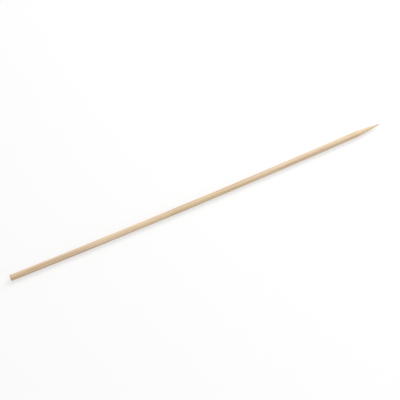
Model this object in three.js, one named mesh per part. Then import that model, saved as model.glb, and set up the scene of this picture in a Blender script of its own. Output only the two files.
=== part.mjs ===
// A round bamboo skewer: one stick, ground to a point at one end and sawn square at the other.
// Millimetres, +Z up. It lies on z = 0 along X, its point towards +X, with the origin under its middle.
import * as THREE from "three";

// The stick
const LENGTH = 200; // from the sawn end to the tip
const DIAMETER = 3; // of the round shank
const BOW = 1; // how far the middle lies off the line between the ends, as the dried stick has warped

// The sawn end
const EDGE_BREAK = 0.15; // radius left on the edge by tumbling

// The ground point
const POINT_LENGTH = 13; // from where the grinding starts to the tip
const POINT_SWELL = 0.12; // how far the flank stands out past a straight cone
const TIP_RADIUS = 0.22; // of the rounded tip

// How finely the surface is divided
const SIDES = 32; // round the stick
const RING_SPACING = 6; // between rings along the shank
const FLANK_RINGS = 8; // along the point
const ROUND_STEPS = 4; // on the edge of the sawn end and on the tip

const RADIUS = DIAMETER / 2;
const HALF_LENGTH = LENGTH / 2;
const SHANK_END = LENGTH - POINT_LENGTH;

// Every outline is a list of points (distance from the axis, distance from the sawn end).

// The flat sawn face, from the axis out, and the worn edge round it.
function sawnEndOutline() {
  const face = [new THREE.Vector2(0, 0)];
  const edge = new THREE.Path();
  edge.absarc(RADIUS - EDGE_BREAK, EDGE_BREAK, EDGE_BREAK, -Math.PI / 2, 0, false);
  return face.concat(edge.getPoints(ROUND_STEPS));
}

// The straight shank, with rings close enough to follow the bow.
function shankOutline() {
  const run = SHANK_END - EDGE_BREAK;
  const rings = Math.max(2, Math.ceil(run / RING_SPACING));
  const points = [];
  for (let ring = 1; ring <= rings; ring += 1) {
    points.push(new THREE.Vector2(RADIUS, EDGE_BREAK + (run * ring) / rings));
  }
  return points;
}

// The ground flank, a little fuller than a cone, and the round tip that it runs into.
function pointOutline() {
  const taper = Math.atan2(RADIUS - TIP_RADIUS, POINT_LENGTH);
  const shoulder = new THREE.Vector2(RADIUS, SHANK_END);
  const tipStart = new THREE.Vector2(
    TIP_RADIUS * Math.cos(taper),
    LENGTH - TIP_RADIUS + TIP_RADIUS * Math.sin(taper),
  );
  const outward = new THREE.Vector2(Math.cos(taper), Math.sin(taper));
  const pull = shoulder.clone().add(tipStart).multiplyScalar(0.5).addScaledVector(outward, 2 * POINT_SWELL);
  const flank = new THREE.QuadraticBezierCurve(shoulder, pull, tipStart);
  const tip = new THREE.Path();
  tip.absarc(0, LENGTH - TIP_RADIUS, TIP_RADIUS, taper, Math.PI / 2, false);
  const round = tip.getPoints(ROUND_STEPS).slice(1, -1);
  return [...flank.getPoints(FLANK_RINGS).slice(1), ...round, new THREE.Vector2(0, LENGTH)];
}

// How far the axis lies to the side at a place along the stick, measured from its middle.
function sideways(x) {
  const share = x / HALF_LENGTH;
  return BOW * (share * share - 0.5);
}

// The outline turned round its axis, laid along X on z = 0, and bowed in the level plane.
function skewerGeometry() {
  const outline = [...sawnEndOutline(), ...shankOutline(), ...pointOutline()];
  const geometry = new THREE.LatheGeometry(outline, SIDES);
  geometry.rotateZ(-Math.PI / 2);
  geometry.translate(-HALF_LENGTH, 0, RADIUS);
  const place = geometry.getAttribute("position");
  for (let i = 0; i < place.count; i += 1) {
    place.setY(i, place.getY(i) + sideways(place.getX(i)));
  }
  geometry.computeVertexNormals();
  return geometry;
}

const bamboo = new THREE.MeshStandardMaterial({ color: 0xd8bd94, roughness: 0.6, metalness: 0 });

const skewer = new THREE.Mesh(skewerGeometry(), bamboo);
skewer.name = "skewer";

const part = new THREE.Group();
part.add(skewer);

export default part;
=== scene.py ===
"""A round bamboo skewer, ground to a point, lying on a pale floor in soft studio light."""
import math

import bpy
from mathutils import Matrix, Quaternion, Vector


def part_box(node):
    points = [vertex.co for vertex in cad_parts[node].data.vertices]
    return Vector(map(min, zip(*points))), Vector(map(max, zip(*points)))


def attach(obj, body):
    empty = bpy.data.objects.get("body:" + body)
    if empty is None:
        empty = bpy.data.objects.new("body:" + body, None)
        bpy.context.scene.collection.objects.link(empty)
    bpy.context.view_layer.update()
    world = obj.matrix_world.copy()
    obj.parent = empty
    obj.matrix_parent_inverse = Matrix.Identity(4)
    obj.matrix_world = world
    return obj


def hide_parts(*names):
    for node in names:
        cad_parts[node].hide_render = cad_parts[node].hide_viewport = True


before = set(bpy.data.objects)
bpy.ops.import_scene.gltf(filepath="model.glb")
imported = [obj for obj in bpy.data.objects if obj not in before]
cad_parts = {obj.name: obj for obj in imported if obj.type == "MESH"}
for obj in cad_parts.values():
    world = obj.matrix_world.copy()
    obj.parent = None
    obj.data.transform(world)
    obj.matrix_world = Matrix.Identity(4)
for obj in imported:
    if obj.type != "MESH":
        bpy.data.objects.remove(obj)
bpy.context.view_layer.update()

LOW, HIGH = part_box("skewer")

# The stick, in metres
LENGTH = HIGH.x - LOW.x
RADIUS = (HIGH.z - LOW.z) / 2
BOW = (HIGH.y - LOW.y) - 2 * RADIUS  # how far the middle lies off the line between the ends
EDGE_BREAK = 0.00015  # radius left on the sawn end's edge by tumbling
POINT_LENGTH = 0.013
POINT_SWELL = 0.00012  # how far the ground flank stands out past a straight cone
TIP_RADIUS = 0.00022
TAPER = math.atan2(RADIUS - TIP_RADIUS, POINT_LENGTH)
SAWN_END = -LENGTH / 2
TIP_END = LENGTH / 2
SHOULDER = TIP_END - POINT_LENGTH  # where the grinding starts

# How finely the stick's mesh is divided
SIDES = 96
LENGTHWISE_CUTS = (15, 15)  # one pass after the other, which makes 16 times 16 lengths
ROUND_STEPS = 5
FACE_RINGS = 7
SMOOTH_UNDER = math.radians(50)
CLOSE = 2e-6  # two places nearer than this count as one

# The relief of the planed shank's fibres, the sawn face's torn grain and the uneven ground point
FIBRE_WIDTH = 0.0004
FIBRE_STRETCH = 30  # how many times longer the shank ends than the tube it starts as
FIBRE_RELIEF = 0.00004
SAW_GRAIN = 0.0003
SAW_RELIEF = 0.00012
GRINDING_GRAIN = 0.0025
GRINDING_RELIEF = 0.00012
GROUND_FADE = 0.002  # the stretch over which the ground surface sets in
CLOUD_DEPTH = 2

# The bamboo's pattern: how long each mark is along the stick, and how far apart across it
BUNDLE_LENGTH, BUNDLE_SPACING = 0.09, 0.0007
PORE_LENGTH, PORE_SPACING = 0.009, 0.0004
FIBRE_LENGTH, FIBRE_SPACING = 0.02, 0.00022
TONE_LENGTH, TONE_SPACING = 0.07, 0.0016
SWAY_LENGTH, SWAY_REACH = 0.05, 0.0008
SCRATCH_WIDTH, SCRATCH_RUN = 0.00018, 0.0004
DOT_SPACING = 0.00042

# The side of the stick that lay nearer the culm's skin. It is turned to the near lower side, so its
# browner colour there is partly painted shade
SKIN_AND_SHADE_SIDE = (0, -0.8, -0.6)

# How far from its middle a mark's colour is full, and how far it is gone, in spacings
BUNDLE_HEART, BUNDLE_RIM = 0.26, 0.42
PORE_HEART, PORE_RIM = 0.06, 0.16
DOT_HEART, DOT_RIM = 0.1, 0.42

# How strongly each colour shows where it shows most, and how strongly the faintest bundle shows
STRAW_SHARE = 0.6
PORE_SHARE = 0.6
AGED_SHARE = 0.5
FRESH_SHARE = 0.35
SAWN_SHARE = 0.8
DOT_SHARE = 0.8
FAINTEST_BUNDLE = 0.35
FAINTEST_DOT = 0.3

# The wood's roughness, and the bump that its marks make, with each mark's share of the height
PITH_ROUGHNESS = 0.62
BUNDLE_ROUGHNESS = 0.45
CUT_ROUGHER_BY = 0.2
BUMP_DEPTH = 0.00006
BUNDLE_RISE = 0.4
PORE_SINK = 0.6
SCRATCH_RISE = 0.6

# The bamboo's colours
PITH = "#E0C9AC"
# Browner pith of the skin side. It lies on the near lower side, so it is partly painted shade
PITH_NEAR_SKIN_AND_SHADE = "#CDB091"
STRAW_PITH = "#DCC798"
BUNDLE = "#B59069"
PORE = "#86623C"
AGED = "#BC9B77"
FRESHLY_GROUND = "#E3CFAE"
SAWN_PITH = "#DDC3A2"
SAWN_BUNDLE = "#8C663F"

# The backdrop's colours
PAPER = "#F7F7F7"
WHITE = "#FFFFFF"

# The camera, round the middle of the stick
CAMERA_TURN = math.radians(-27.2)
CAMERA_HEIGHT = math.radians(60.3)
CAMERA_ROLL = math.radians(-1.25)
CAMERA_DISTANCE = 0.65
CAMERA_LENS = 120
CAMERA_NEAR = 0.01
AIM_ALONG = -0.001  # where the lens is aimed, from the stick's middle towards its point

# The room, with each lamp's place, width and power
FLOOR_SIZE = 6.0
FLOOR_LIFT = 0.6  # the share of pure white in what the camera sees of the floor
SUN_FROM = (0.45, 0.65, 1.0)
SUN_SOFTNESS = math.radians(35)
SUN_STRENGTH = 1.0
SIDE_LAMP = ((0.35, 0.2, 0.3), 0.3, 1.15)
FRONT_LAMP = ((0.3, -0.6, 0.3), 0.6, 1.1)
SKY_STRENGTH = 0.5


def linear(hex_colour):
    """An sRGB hex colour as a linear colour with full alpha."""
    parts = [int(hex_colour[i:i + 2], 16) / 255 for i in (1, 3, 5)]
    return [p / 12.92 if p <= 0.04045 else ((p + 0.055) / 1.055) ** 2.4 for p in parts] + [1.0]


def deselect():
    """Leaves object mode with nothing selected."""
    if bpy.context.object and bpy.context.object.mode != "OBJECT":
        bpy.ops.object.mode_set(mode="OBJECT")
    bpy.ops.object.select_all(action="DESELECT")


def add(tree, kind, inputs=None, **settings):
    """Adds a node with its settings, and sets or links each input that is given."""
    node = tree.nodes.new(kind)
    for name, value in settings.items():
        setattr(node, name, value)
    for socket, value in (inputs or {}).items():
        if isinstance(value, bpy.types.NodeSocket):
            tree.links.new(value, node.inputs[socket])
        else:
            node.inputs[socket].default_value = value
    return node


def new_material(name):
    """A node material with nothing in it but its output."""
    material = bpy.data.materials.new(name)
    material.use_nodes = True
    tree = material.node_tree
    tree.nodes.clear()
    return material, tree, add(tree, "ShaderNodeOutputMaterial")


# The stick's mesh

def pick(piece, wanted):
    """In edit mode, selects the vertices that pass the test, with what lies between them."""
    bpy.ops.mesh.select_mode(type="VERT")
    bpy.ops.mesh.select_all(action="DESELECT")
    bpy.ops.object.mode_set(mode="OBJECT")
    for vertex in piece.data.vertices:
        vertex.select = wanted(vertex.co)
    bpy.ops.object.mode_set(mode="EDIT")


def pick_lengthwise(piece):
    """In edit mode, selects the edges that run along X."""
    bpy.ops.mesh.select_mode(type="EDGE")
    bpy.ops.mesh.select_all(action="DESELECT")
    bpy.ops.object.mode_set(mode="OBJECT")
    corners = piece.data.vertices
    for edge in piece.data.edges:
        span = corners[edge.vertices[0]].co - corners[edge.vertices[1]].co
        edge.select = math.hypot(span.y, span.z) < CLOSE
    bpy.ops.object.mode_set(mode="EDIT")


def weigh(piece, name, weight):
    """Makes a vertex group, each weight worked out from its vertex's place, and gives its name."""
    group = piece.vertex_groups.new(name=name)
    for vertex in piece.data.vertices:
        share = weight(vertex.co)
        if share > 0:
            group.add([vertex.index], share, "REPLACE")
    return name


def displace(name, **settings):
    """Adds a Displace modifier with these settings and applies it."""
    push = bpy.context.object.modifiers.new(name, "DISPLACE")
    for setting, value in settings.items():
        setattr(push, setting, value)
    bpy.ops.object.modifier_apply(modifier=name)


def clouds(name, grain):
    """A cloudy pattern of this grain, for a relief."""
    pattern = bpy.data.textures.new(name, "CLOUDS")
    pattern.noise_scale = grain
    pattern.noise_depth = CLOUD_DEPTH
    return pattern


def draw_shank():
    """The planed stick: a short open tube with fine clouds sunk in, then drawn out into fibres."""
    start = SAWN_END + EDGE_BREAK
    end = TIP_END - TIP_RADIUS * (1 - math.sin(TAPER))
    bpy.ops.mesh.primitive_cylinder_add(
        vertices=SIDES, radius=RADIUS, depth=(end - start) / FIBRE_STRETCH,
        end_fill_type="NOTHING", rotation=(0, math.pi / 2, 0))
    stick = bpy.context.object
    stick.name = "bamboo_stick"
    bpy.ops.object.transform_apply(location=True, rotation=True, scale=True)
    bpy.ops.object.mode_set(mode="EDIT")
    for cuts in LENGTHWISE_CUTS:
        pick_lengthwise(stick)
        bpy.ops.mesh.subdivide(number_cuts=cuts)
    bpy.ops.object.mode_set(mode="OBJECT")
    displace("fibres", texture=clouds("fibres", FIBRE_WIDTH), texture_coords="LOCAL",
             mid_level=1.0, strength=FIBRE_RELIEF)
    bpy.ops.object.mode_set(mode="EDIT")
    bpy.ops.mesh.select_all(action="SELECT")
    bpy.ops.transform.resize(value=(FIBRE_STRETCH, 1, 1), center_override=(0, 0, 0))
    bpy.ops.transform.translate(value=((start + end) / 2, 0, 0))
    return stick


def grind_point(stick):
    """Narrows each ring past the shoulder to the fullness that the ground point has there.
    Gives back the last ring's place and radius."""
    bpy.ops.object.mode_set(mode="OBJECT")
    places = sorted({round(v.co.x, 6) for v in stick.data.vertices if v.co.x > SHOULDER})
    bpy.ops.object.mode_set(mode="EDIT")
    end_girth = TIP_RADIUS * math.cos(TAPER)
    for place in places:
        share = (place - SHOULDER) / (places[-1] - SHOULDER)
        girth = RADIUS + (end_girth - RADIUS) * share + 4 * POINT_SWELL * share * (1 - share)
        pick(stick, lambda co: abs(co.x - place) < CLOSE)
        bpy.ops.transform.resize(
            value=(1, girth / RADIUS, girth / RADIUS), center_override=(place, 0, 0))
    return places[-1], end_girth


def close_end(stick, place, girth, stations):
    """Carries the open rim at this place through the stations to the axis, and closes it there."""
    pick(stick, lambda co: abs(co.x - place) < CLOSE)
    for next_place, next_girth in stations:
        bpy.ops.mesh.extrude_region_move(
            TRANSFORM_OT_translate={"value": (next_place - place, 0, 0)})
        size = next_girth / girth
        bpy.ops.transform.resize(value=(1, size, size), center_override=(next_place, 0, 0))
        place, girth = next_place, next_girth
    bpy.ops.mesh.merge(type="COLLAPSE")


def quarter(start_angle):
    """The angles of a rounded edge, from just past its start to its end."""
    return [start_angle + (math.pi / 2 - start_angle) * step / ROUND_STEPS
            for step in range(1, ROUND_STEPS + 1)]


def make_stick():
    """The whole skewer as one closed skin, bowed and laid where the frame has it."""
    stick = draw_shank()
    tip_place, tip_girth = grind_point(stick)
    worn_edge = [(SAWN_END + EDGE_BREAK * (1 - math.sin(angle)),
                  RADIUS - EDGE_BREAK * (1 - math.cos(angle)))
                 for angle in quarter(0)]
    face_radius = RADIUS - EDGE_BREAK
    face = [(SAWN_END, face_radius * (1 - ring / FACE_RINGS)) for ring in range(1, FACE_RINGS + 1)]
    close_end(stick, SAWN_END + EDGE_BREAK, RADIUS, worn_edge + face)
    tip = [(TIP_END - TIP_RADIUS * (1 - math.sin(angle)), TIP_RADIUS * math.cos(angle))
           for angle in quarter(TAPER)]
    close_end(stick, tip_place, tip_girth, tip)
    bpy.ops.mesh.select_all(action="SELECT")
    bpy.ops.mesh.normals_make_consistent(inside=False)
    bpy.ops.object.mode_set(mode="OBJECT")
    sawn = weigh(stick, "sawn_face", lambda co: 1 - (co.x - SAWN_END) / EDGE_BREAK)
    displace("torn_grain", texture=clouds("torn_grain", SAW_GRAIN), texture_coords="LOCAL",
             direction="X", mid_level=1.0, strength=-SAW_RELIEF, vertex_group=sawn)
    ground = weigh(stick, "ground", lambda co: min(1, (co.x - SHOULDER) / GROUND_FADE))
    displace("grinding", texture=clouds("grinding", GRINDING_GRAIN), texture_coords="LOCAL",
             mid_level=1.0, strength=GRINDING_RELIEF, vertex_group=ground)
    bow = weigh(stick, "bow", lambda co: (co.x / TIP_END) ** 2)
    displace("bow", direction="Y", mid_level=0.0, strength=BOW, vertex_group=bow)
    stick.location = (0, -BOW / 2, RADIUS)
    bpy.ops.object.transform_apply(location=True, rotation=False, scale=False)
    bpy.ops.object.shade_smooth_by_angle(angle=SMOOTH_UNDER)
    return stick


# The material

def grain_place(tree, along, across, up):
    """The place within the grain, which follows the bow and wanders a little as it goes."""
    square = add(tree, "ShaderNodeMath", {0: along, 1: along}, operation="MULTIPLY").outputs[0]
    straight = add(tree, "ShaderNodeMath", {0: square, 1: -BOW / TIP_END ** 2, 2: across},
                   operation="MULTIPLY_ADD").outputs[0]
    place = add(tree, "ShaderNodeCombineXYZ", {0: along, 1: straight, 2: up}).outputs[0]
    sway = add(tree, "ShaderNodeTexNoise", {"W": along, "Scale": 1 / SWAY_LENGTH, "Detail": 1.0},
               noise_dimensions="1D").outputs["Color"]
    return add(tree, "ShaderNodeVectorMath", {0: sway, 1: (0, SWAY_REACH, SWAY_REACH), 2: place},
               operation="MULTIPLY_ADD").outputs[0]


def in_cells(tree, place, length, spacing):
    """The place counted in cells, each this long along the stick and this wide across it."""
    return add(tree, "ShaderNodeVectorMath", {0: place, 1: (1 / length, 1 / spacing, 1 / spacing)},
               operation="MULTIPLY").outputs[0]


def streaks(tree, place, length, spacing, detail):
    """Noise drawn out along the grain: its grey value and its colour."""
    cells = in_cells(tree, place, length, spacing)
    return add(tree, "ShaderNodeTexNoise",
               {"Vector": cells, "Scale": 1.0, "Detail": detail}).outputs


def bundles_and_pores(tree, grain):
    """How much shows at each place of a fibre bundle, and of the broken line of pores in its core.
    A bundle is drawn at its real width of 0.3 to 0.5 mm, which is about one pixel of the render."""
    cells = in_cells(tree, grain, BUNDLE_LENGTH, BUNDLE_SPACING)
    cell = add(tree, "ShaderNodeTexVoronoi", {"Vector": cells, "Scale": 1.0}).outputs
    strong = add(tree, "ShaderNodeSeparateColor", {0: cell["Color"]}).outputs[0]
    strong = add(tree, "ShaderNodeMapRange",
                 {"Value": strong, "To Min": FAINTEST_BUNDLE}).outputs["Result"]
    width = add(tree, "ShaderNodeMapRange",
                {"Value": cell["Distance"], "From Min": BUNDLE_RIM, "From Max": BUNDLE_HEART},
                interpolation_type="SMOOTHSTEP").outputs["Result"]
    bundle = add(tree, "ShaderNodeMath", {0: width, 1: strong}, operation="MULTIPLY").outputs[0]
    core = add(tree, "ShaderNodeMapRange",
               {"Value": cell["Distance"], "From Min": PORE_RIM, "From Max": PORE_HEART},
               interpolation_type="SMOOTHSTEP").outputs["Result"]
    broken = streaks(tree, grain, PORE_LENGTH, PORE_SPACING, 2.0)["Fac"]
    broken = add(tree, "ShaderNodeMapRange", {"Value": broken, "From Min": 0.45, "From Max": 0.6},
                 interpolation_type="SMOOTHSTEP").outputs["Result"]
    pore = add(tree, "ShaderNodeMath", {0: core, 1: broken}, operation="MULTIPLY").outputs[0]
    return bundle, pore


def planed_colour(tree, grain, bundle, pore, fibre):
    """The long side's colour: pith, browner towards the culm's skin, which is turned to the near
    lower side and so is partly painted shade, and straw yellow in patches, with bundles, pores,
    darker bands and fine fibres drawn over it."""
    tone = streaks(tree, grain, TONE_LENGTH, TONE_SPACING, 2.0)["Color"]
    brown, straw, _ = add(tree, "ShaderNodeSeparateColor", {0: tone}).outputs
    # Browner towards the near lower side: partly the culm's skin colour, partly painted shade
    towards_skin_and_shade = [share / RADIUS for share in SKIN_AND_SHADE_SIDE]
    skin_and_shade = add(tree, "ShaderNodeVectorMath", {0: grain, 1: towards_skin_and_shade},
               operation="DOT_PRODUCT").outputs["Value"]
    skin_and_shade = add(tree, "ShaderNodeMapRange", {"Value": skin_and_shade, "From Min": -0.6, "From Max": 0.6},
               interpolation_type="SMOOTHSTEP").outputs["Result"]
    colour = add(tree, "ShaderNodeMix",
                 {"Factor": skin_and_shade, 6: linear(PITH), 7: linear(PITH_NEAR_SKIN_AND_SHADE)},
                 data_type="RGBA").outputs[2]
    yellow = add(tree, "ShaderNodeMapRange",
                 {"Value": straw, "From Min": 0.48, "From Max": 0.64, "To Max": STRAW_SHARE},
                 interpolation_type="SMOOTHSTEP").outputs["Result"]
    colour = add(tree, "ShaderNodeMix", {"Factor": yellow, 6: colour, 7: linear(STRAW_PITH)},
                 data_type="RGBA").outputs[2]
    colour = add(tree, "ShaderNodeMix", {"Factor": bundle, 6: colour, 7: linear(BUNDLE)},
                 data_type="RGBA").outputs[2]
    holed = add(tree, "ShaderNodeMath", {0: pore, 1: PORE_SHARE}, operation="MULTIPLY").outputs[0]
    colour = add(tree, "ShaderNodeMix", {"Factor": holed, 6: colour, 7: linear(PORE)},
                 data_type="RGBA").outputs[2]
    aged = add(tree, "ShaderNodeMapRange",
               {"Value": brown, "From Min": 0.7, "From Max": 0.3, "To Max": AGED_SHARE}
               ).outputs["Result"]
    colour = add(tree, "ShaderNodeMix", {"Factor": aged, 6: colour, 7: linear(AGED)},
                 data_type="RGBA").outputs[2]
    line = add(tree, "ShaderNodeMapRange",
               {"Value": fibre, "From Min": 0.3, "From Max": 0.7, "To Min": 0.9, "To Max": 1.12}
               ).outputs["Result"]
    return add(tree, "ShaderNodeVectorMath", {0: colour, 3: line}, operation="SCALE").outputs[0]


def sawn_colour(tree, across, up):
    """The sawn face's colour: dull pith with the bundles cut across, as ragged brown dots."""
    section = add(tree, "ShaderNodeCombineXYZ", {0: across, 1: up}).outputs[0]
    ragged = add(tree, "ShaderNodeTexNoise",
                 {"Vector": section, "Scale": 2 / DOT_SPACING, "Detail": 2.0},
                 noise_dimensions="2D").outputs["Color"]
    section = add(tree, "ShaderNodeVectorMath",
                  {0: ragged, 1: (DOT_SPACING / 2, DOT_SPACING / 2, 0), 2: section},
                  operation="MULTIPLY_ADD").outputs[0]
    cell = add(tree, "ShaderNodeTexVoronoi",
               {"Vector": section, "Scale": 1 / DOT_SPACING, "Randomness": 0.8},
               voronoi_dimensions="2D").outputs
    dot = add(tree, "ShaderNodeMapRange",
              {"Value": cell["Distance"], "From Min": DOT_RIM, "From Max": DOT_HEART,
               "To Max": DOT_SHARE},
              interpolation_type="SMOOTHSTEP").outputs["Result"]
    strong = add(tree, "ShaderNodeSeparateColor", {0: cell["Color"]}).outputs[0]
    strong = add(tree, "ShaderNodeMapRange",
                 {"Value": strong, "To Min": FAINTEST_DOT}).outputs["Result"]
    dot = add(tree, "ShaderNodeMath", {0: dot, 1: strong}, operation="MULTIPLY").outputs[0]
    return add(tree, "ShaderNodeMix", {"Factor": dot, 6: linear(SAWN_PITH), 7: linear(SAWN_BUNDLE)},
               data_type="RGBA").outputs[2]


def bamboo():
    """Dried bamboo, planed round and tumbled: cream pith with long tan fibre bundles, which catch
    a faint sheen. The ground point is paler, and it and the sawn face are dull."""
    material, tree, output = new_material("planed_bamboo")
    coordinates = add(tree, "ShaderNodeTexCoord").outputs
    place = coordinates["Object"]
    along, across, up = add(tree, "ShaderNodeSeparateXYZ", {0: place}).outputs
    grain = grain_place(tree, along, across, up)
    bundle, pore = bundles_and_pores(tree, grain)
    fibre = streaks(tree, grain, FIBRE_LENGTH, FIBRE_SPACING, 3.0)["Fac"]
    colour = planed_colour(tree, grain, bundle, pore, fibre)

    # The point is ground after the stick has dried, so its wood is fresher
    ground = add(tree, "ShaderNodeMapRange",
                 {"Value": along, "From Min": SHOULDER, "From Max": SHOULDER + GROUND_FADE},
                 interpolation_type="SMOOTHSTEP").outputs["Result"]
    fresh = add(tree, "ShaderNodeMath", {0: ground, 1: FRESH_SHARE},
                operation="MULTIPLY").outputs[0]
    colour = add(tree, "ShaderNodeMix", {"Factor": fresh, 6: colour, 7: linear(FRESHLY_GROUND)},
                 data_type="RGBA").outputs[2]

    # The sawn face is what looks back along the stick
    facing = add(tree, "ShaderNodeSeparateXYZ", {0: coordinates["Normal"]}).outputs[0]
    sawn = add(tree, "ShaderNodeMapRange",
               {"Value": facing, "From Min": -0.5, "From Max": -0.8}).outputs["Result"]
    shown = add(tree, "ShaderNodeMath", {0: sawn, 1: SAWN_SHARE}, operation="MULTIPLY").outputs[0]
    end_grain = sawn_colour(tree, across, up)
    colour = add(tree, "ShaderNodeMix", {"Factor": shown, 6: colour, 7: end_grain},
                 data_type="RGBA").outputs[2]

    # Planed fibres are smoother than pith, and cut wood is rougher than both
    rough = add(tree, "ShaderNodeMapRange",
                {"Value": bundle, "To Min": PITH_ROUGHNESS, "To Max": BUNDLE_ROUGHNESS}
                ).outputs["Result"]
    cut = add(tree, "ShaderNodeMath", {0: ground, 1: sawn}, operation="MAXIMUM").outputs[0]
    rough = add(tree, "ShaderNodeMath", {0: cut, 1: CUT_ROUGHER_BY, 2: rough},
                operation="MULTIPLY_ADD").outputs[0]

    # Bundles stand up, pores are sunk, and the grinder leaves fine scratches round the point
    height = add(tree, "ShaderNodeMath", {0: bundle, 1: BUNDLE_RISE, 2: fibre},
                 operation="MULTIPLY_ADD").outputs[0]
    height = add(tree, "ShaderNodeMath", {0: pore, 1: -PORE_SINK, 2: height},
                 operation="MULTIPLY_ADD").outputs[0]
    scratch = streaks(tree, place, SCRATCH_WIDTH, SCRATCH_RUN, 2.0)["Fac"]
    scratch = add(tree, "ShaderNodeMath", {0: scratch, 1: ground}, operation="MULTIPLY").outputs[0]
    height = add(tree, "ShaderNodeMath", {0: scratch, 1: SCRATCH_RISE, 2: height},
                 operation="MULTIPLY_ADD").outputs[0]
    bump = add(tree, "ShaderNodeBump",
               {"Strength": 0.5, "Distance": BUMP_DEPTH, "Height": height}).outputs[0]
    shader = add(tree, "ShaderNodeBsdfPrincipled",
                 {"Base Color": colour, "Roughness": rough, "Normal": bump, "IOR": 1.5})
    tree.links.new(shader.outputs[0], output.inputs["Surface"])
    return material


# The room

def backdrop_ray(tree):
    """1 where the backdrop is seen, straight or in gloss or glass, and 0 where it only lights."""
    ray = add(tree, "ShaderNodeLightPath").outputs
    mirrored = add(tree, "ShaderNodeMath", {0: ray["Is Glossy Ray"], 1: ray["Is Transmission Ray"]},
                   operation="MAXIMUM").outputs[0]
    return add(tree, "ShaderNodeMath", {0: ray["Is Camera Ray"], 1: mirrored},
               operation="MAXIMUM").outputs[0]


def pale_floor():
    """A matt white floor. The camera sees it near white, and it keeps the stick's soft shadow."""
    bpy.ops.mesh.primitive_plane_add(size=FLOOR_SIZE)
    floor = bpy.context.object
    floor.name = "floor"
    material, tree, output = new_material("white_paper")
    paper = add(tree, "ShaderNodeBsdfDiffuse", {"Color": linear(PAPER)}).outputs[0]
    white = add(tree, "ShaderNodeEmission", {"Color": linear(WHITE), "Strength": 1.0}).outputs[0]
    lift = add(tree, "ShaderNodeMath", {0: backdrop_ray(tree), 1: FLOOR_LIFT},
               operation="MULTIPLY").outputs[0]
    mixed = add(tree, "ShaderNodeMixShader", {0: lift, 1: paper, 2: white}).outputs[0]
    tree.links.new(mixed, output.inputs["Surface"])
    floor.data.materials.append(material)


def white_sky():
    """An even white surround, which lights the stick at half the strength that the camera sees."""
    world = bpy.data.worlds.new("white_surround")
    world.use_nodes = True
    tree = world.node_tree
    tree.nodes.clear()
    strength = add(tree, "ShaderNodeMapRange",
                   {"Value": backdrop_ray(tree), "To Min": SKY_STRENGTH}).outputs["Result"]
    sky = add(tree, "ShaderNodeBackground", {"Color": linear(WHITE), "Strength": strength})
    output = add(tree, "ShaderNodeOutputWorld")
    tree.links.new(sky.outputs[0], output.inputs["Surface"])
    bpy.context.scene.world = world


def lamp(name, place, size, power):
    """A round soft lamp at this place, turned to the middle of the stick."""
    bpy.ops.object.light_add(type="AREA", location=place,
                             rotation=Vector(place).to_track_quat("Z", "Y").to_euler())
    light = bpy.context.object
    light.name = name
    light.data.shape = "DISK"
    light.data.size = size
    light.data.energy = power


def lights():
    """A soft sun from above and beyond the stick, a small lamp that lifts its pointed half,
    and a wide weak one that fills its near side."""
    bpy.ops.object.light_add(type="SUN",
                             rotation=Vector(SUN_FROM).to_track_quat("Z", "Y").to_euler())
    sun = bpy.context.object
    sun.name = "soft_sun"
    sun.data.angle = SUN_SOFTNESS
    sun.data.energy = SUN_STRENGTH
    lamp("side_lamp", *SIDE_LAMP)
    lamp("front_lamp", *FRONT_LAMP)


def camera():
    """A long lens that looks down on the stick from the near side, a little from the sawn end."""
    aim = Vector((AIM_ALONG, 0, RADIUS))
    flat = math.cos(CAMERA_HEIGHT)
    back = Vector((math.sin(CAMERA_TURN) * flat,
                   -math.cos(CAMERA_TURN) * flat,
                   math.sin(CAMERA_HEIGHT)))
    bpy.ops.object.camera_add(location=Vector((0, 0, RADIUS)) + back * CAMERA_DISTANCE)
    eye = bpy.context.object
    view = (aim - eye.location).normalized()
    level = view.to_track_quat("-Z", "Y")
    eye.rotation_euler = (Quaternion(view, CAMERA_ROLL) @ level).to_euler()
    eye.data.lens = CAMERA_LENS
    eye.data.clip_start = CAMERA_NEAR
    bpy.context.scene.camera = eye


deselect()
camera()
stick = make_stick()
stick.data.materials.clear()
stick.data.materials.append(bamboo())
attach(stick, "root")
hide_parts("skewer")
deselect()
pale_floor()
white_sky()
lights()
bpy.context.scene.view_settings.view_transform = "Standard"
